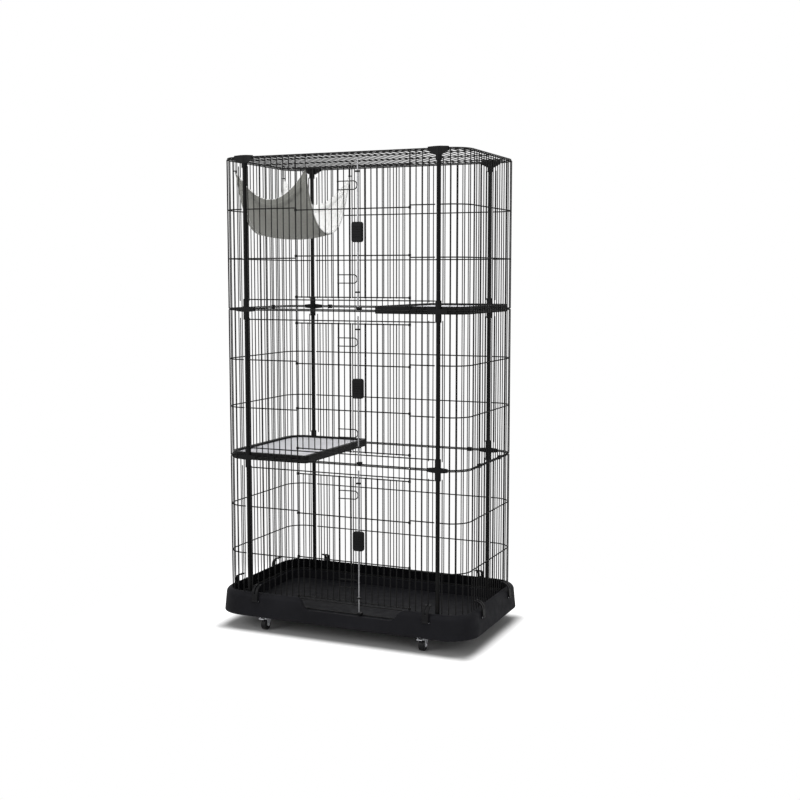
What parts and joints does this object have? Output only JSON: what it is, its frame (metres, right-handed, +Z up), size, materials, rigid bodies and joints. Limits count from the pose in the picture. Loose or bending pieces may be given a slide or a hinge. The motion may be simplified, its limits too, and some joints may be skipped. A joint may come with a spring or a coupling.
{
  "type": "cat cage",
  "caption": "Tall tiered wire cat cage on a castored moulded tray, with paired front doors, sliding bolts, corner shelves and a cloth hammock hung from the wire roof.",
  "frame": {"origin": "on the floor, under the middle of the four posts", "axes": "+X to the right seen from the front, +Y to the back, +Z up"},
  "size_m": [0.951, 0.559, 1.6205],
  "materials": {
    "tray_plastic": "moulded polypropylene, fine grain",
    "zinc": "zinc plated pressed steel",
    "wheel_nylon": "moulded nylon wheel",
    "fitting_plastic": "moulded nylon fittings",
    "post_paint": "black powder coat on steel tube",
    "wire_paint": "black powder coat on welded wire",
    "latch_steel": "bright zinc plated bolt",
    "shelf_plastic": "moulded rim",
    "shelf_panel": "pale plastic panel",
    "hammock_cloth": "woven cloth, grey outside and white inside"
  },
  "bodies": {
    "cage": {"base_tray": "tray_plastic", "caster_sockets": "zinc", "tray_clip_pins": "zinc", "hammock_hooks": "wire_paint", "lower_posts": "post_paint", "lower_front_panel": "wire_paint", "lower_left_panel": "wire_paint", "lower_right_panel": "wire_paint", "lower_back_panel": "wire_paint", "middle_posts": "post_paint", "middle_front_panel": "wire_paint", "middle_left_panel": "wire_paint", "middle_right_panel": "wire_paint", "middle_back_panel": "wire_paint", "upper_posts": "post_paint", "upper_front_panel": "wire_paint", "upper_left_panel": "wire_paint", "upper_right_panel": "wire_paint", "upper_back_panel": "wire_paint", "lower_connectors": "fitting_plastic", "upper_connectors": "fitting_plastic", "roof_caps": "fitting_plastic", "latch_keepers": "fitting_plastic", "panel_clips": "fitting_plastic", "roof_panel": "wire_paint", "lower_shelf": "shelf_plastic", "upper_shelf": "shelf_plastic", "shelf_mats": "shelf_panel", "hammock": "hammock_cloth"},
    "lower_right_leaf": {"lower_right_door": "wire_paint"},
    "lower_left_leaf": {"lower_left_door": "wire_paint"},
    "lower_latch": {"lower_latch_rod": "latch_steel", "lower_latch_grip": "fitting_plastic"},
    "middle_right_leaf": {"middle_right_door": "wire_paint"},
    "middle_left_leaf": {"middle_left_door": "wire_paint"},
    "middle_latch": {"middle_latch_rod": "latch_steel", "middle_latch_grip": "fitting_plastic"},
    "upper_right_leaf": {"upper_right_door": "wire_paint"},
    "upper_left_leaf": {"upper_left_door": "wire_paint"},
    "upper_latch": {"upper_latch_rod": "latch_steel", "upper_latch_grip": "fitting_plastic"},
    "fork_front_left": {"caster_fork_front_left": "zinc"},
    "wheel_front_left": {"caster_wheel_front_left": "wheel_nylon"},
    "brake_front_left": {"caster_brake_front_left": "zinc"},
    "fork_front_right": {"caster_fork_front_right": "zinc"},
    "wheel_front_right": {"caster_wheel_front_right": "wheel_nylon"},
    "brake_front_right": {"caster_brake_front_right": "zinc"},
    "fork_back_left": {"caster_fork_back_left": "zinc"},
    "wheel_back_left": {"caster_wheel_back_left": "wheel_nylon"},
    "fork_back_right": {"caster_fork_back_right": "zinc"},
    "wheel_back_right": {"caster_wheel_back_right": "wheel_nylon"},
    "clip_front_left": {"tray_clip_front_left": "fitting_plastic"},
    "clip_front_right": {"tray_clip_front_right": "fitting_plastic"},
    "clip_back_left": {"tray_clip_back_left": "fitting_plastic"},
    "clip_back_right": {"tray_clip_back_right": "fitting_plastic"},
    "clip_left_front": {"tray_clip_left_front": "fitting_plastic"},
    "clip_left_back": {"tray_clip_left_back": "fitting_plastic"},
    "clip_right_front": {"tray_clip_right_front": "fitting_plastic"},
    "clip_right_back": {"tray_clip_right_back": "fitting_plastic"}
  },
  "joints": [
    {"name": "lower_right_door_swing", "type": "hinge", "parent": "cage", "child": "lower_right_leaf", "pos_m": [0.254, -0.2455, 0.3495], "axis": [0, 0, 1], "range_deg": [0, 125]},
    {"name": "lower_left_door_swing", "type": "hinge", "parent": "cage", "child": "lower_left_leaf", "pos_m": [-0.155, -0.2455, 0.3495], "axis": [0, 0, -1], "range_deg": [0, 107]},
    {"name": "lower_latch_slide", "type": "slide", "parent": "lower_right_leaf", "child": "lower_latch", "axis": [0, 0, -1], "range_m": [0, 0.007]},
    {"name": "middle_right_door_swing", "type": "hinge", "parent": "cage", "child": "middle_right_leaf", "pos_m": [0.254, -0.2455, 0.3495], "axis": [0, 0, 1], "range_deg": [0, 125]},
    {"name": "middle_left_door_swing", "type": "hinge", "parent": "cage", "child": "middle_left_leaf", "pos_m": [-0.155, -0.2455, 0.3495], "axis": [0, 0, -1], "range_deg": [0, 107]},
    {"name": "middle_latch_slide", "type": "slide", "parent": "middle_right_leaf", "child": "middle_latch", "axis": [0, 0, -1], "range_m": [0, 0.007]},
    {"name": "upper_right_door_swing", "type": "hinge", "parent": "cage", "child": "upper_right_leaf", "pos_m": [0.254, -0.2455, 0.3495], "axis": [0, 0, 1], "range_deg": [0, 125]},
    {"name": "upper_left_door_swing", "type": "hinge", "parent": "cage", "child": "upper_left_leaf", "pos_m": [-0.155, -0.2455, 0.3495], "axis": [0, 0, -1], "range_deg": [0, 107]},
    {"name": "upper_latch_slide", "type": "slide", "parent": "upper_right_leaf", "child": "upper_latch", "axis": [0, 0, -1], "range_m": [0, 0.007]},
    {"name": "caster_swivel_front_left", "type": "hinge", "parent": "cage", "child": "fork_front_left", "pos_m": [-0.295, -0.205, 0.05], "axis": [0, 0, 1], "continuous": true},
    {"name": "caster_roll_front_left", "type": "hinge", "parent": "fork_front_left", "child": "wheel_front_left", "pos_m": [-0.295, -0.229, 0.02], "axis": [1, 0, 0], "continuous": true},
    {"name": "caster_brake_press_front_left", "type": "hinge", "parent": "fork_front_left", "child": "brake_front_left", "pos_m": [-0.295, -0.244, 0.044], "axis": [1, 0, 0], "range_deg": [0, 20]},
    {"name": "caster_swivel_front_right", "type": "hinge", "parent": "cage", "child": "fork_front_right", "pos_m": [0.295, -0.205, 0.05], "axis": [0, 0, 1], "continuous": true},
    {"name": "caster_roll_front_right", "type": "hinge", "parent": "fork_front_right", "child": "wheel_front_right", "pos_m": [0.295, -0.229, 0.02], "axis": [1, 0, 0], "continuous": true},
    {"name": "caster_brake_press_front_right", "type": "hinge", "parent": "fork_front_right", "child": "brake_front_right", "pos_m": [0.295, -0.244, 0.044], "axis": [1, 0, 0], "range_deg": [0, 20]},
    {"name": "caster_swivel_back_left", "type": "hinge", "parent": "cage", "child": "fork_back_left", "pos_m": [-0.295, 0.205, 0.05], "axis": [0, 0, 1], "continuous": true},
    {"name": "caster_roll_back_left", "type": "hinge", "parent": "fork_back_left", "child": "wheel_back_left", "pos_m": [-0.295, 0.181, 0.02], "axis": [1, 0, 0], "continuous": true},
    {"name": "caster_swivel_back_right", "type": "hinge", "parent": "cage", "child": "fork_back_right", "pos_m": [0.295, 0.205, 0.05], "axis": [0, 0, 1], "continuous": true},
    {"name": "caster_roll_back_right", "type": "hinge", "parent": "fork_back_right", "child": "wheel_back_right", "pos_m": [0.295, 0.181, 0.02], "axis": [1, 0, 0], "continuous": true},
    {"name": "tray_clip_swing_front_left", "type": "hinge", "parent": "cage", "child": "clip_front_left", "pos_m": [-0.3111, -0.27605, 0.109], "axis": [1, 0, 0], "range_deg": [0, 70]},
    {"name": "tray_clip_swing_front_right", "type": "hinge", "parent": "cage", "child": "clip_front_right", "pos_m": [0.3209, -0.27605, 0.109], "axis": [1, 0, 0], "range_deg": [0, 70]},
    {"name": "tray_clip_swing_back_left", "type": "hinge", "parent": "cage", "child": "clip_back_left", "pos_m": [-0.3122, 0.27605, 0.109], "axis": [-1, 0, 0], "range_deg": [0, 70]},
    {"name": "tray_clip_swing_back_right", "type": "hinge", "parent": "cage", "child": "clip_back_right", "pos_m": [0.3122, 0.27605, 0.109], "axis": [-1, 0, 0], "range_deg": [0, 70]},
    {"name": "tray_clip_swing_left_front", "type": "hinge", "parent": "cage", "child": "clip_left_front", "pos_m": [-0.47205, -0.1338, 0.109], "axis": [0, -1, 0], "range_deg": [0, 70]},
    {"name": "tray_clip_swing_left_back", "type": "hinge", "parent": "cage", "child": "clip_left_back", "pos_m": [-0.47205, 0.1338, 0.109], "axis": [0, -1, 0], "range_deg": [0, 70]},
    {"name": "tray_clip_swing_right_front", "type": "hinge", "parent": "cage", "child": "clip_right_front", "pos_m": [0.47205, -0.1338, 0.109], "axis": [0, 1, 0], "range_deg": [0, 70]},
    {"name": "tray_clip_swing_right_back", "type": "hinge", "parent": "cage", "child": "clip_right_back", "pos_m": [0.47205, 0.1338, 0.109], "axis": [0, 1, 0], "range_deg": [0, 70]}
  ],
  "couplings": [
    {"joint": "lower_left_door_swing", "follows": "lower_right_door_swing", "ratio": 0.85},
    {"joint": "middle_left_door_swing", "follows": "middle_right_door_swing", "ratio": 0.85},
    {"joint": "upper_left_door_swing", "follows": "upper_right_door_swing", "ratio": 0.85}
  ]
}
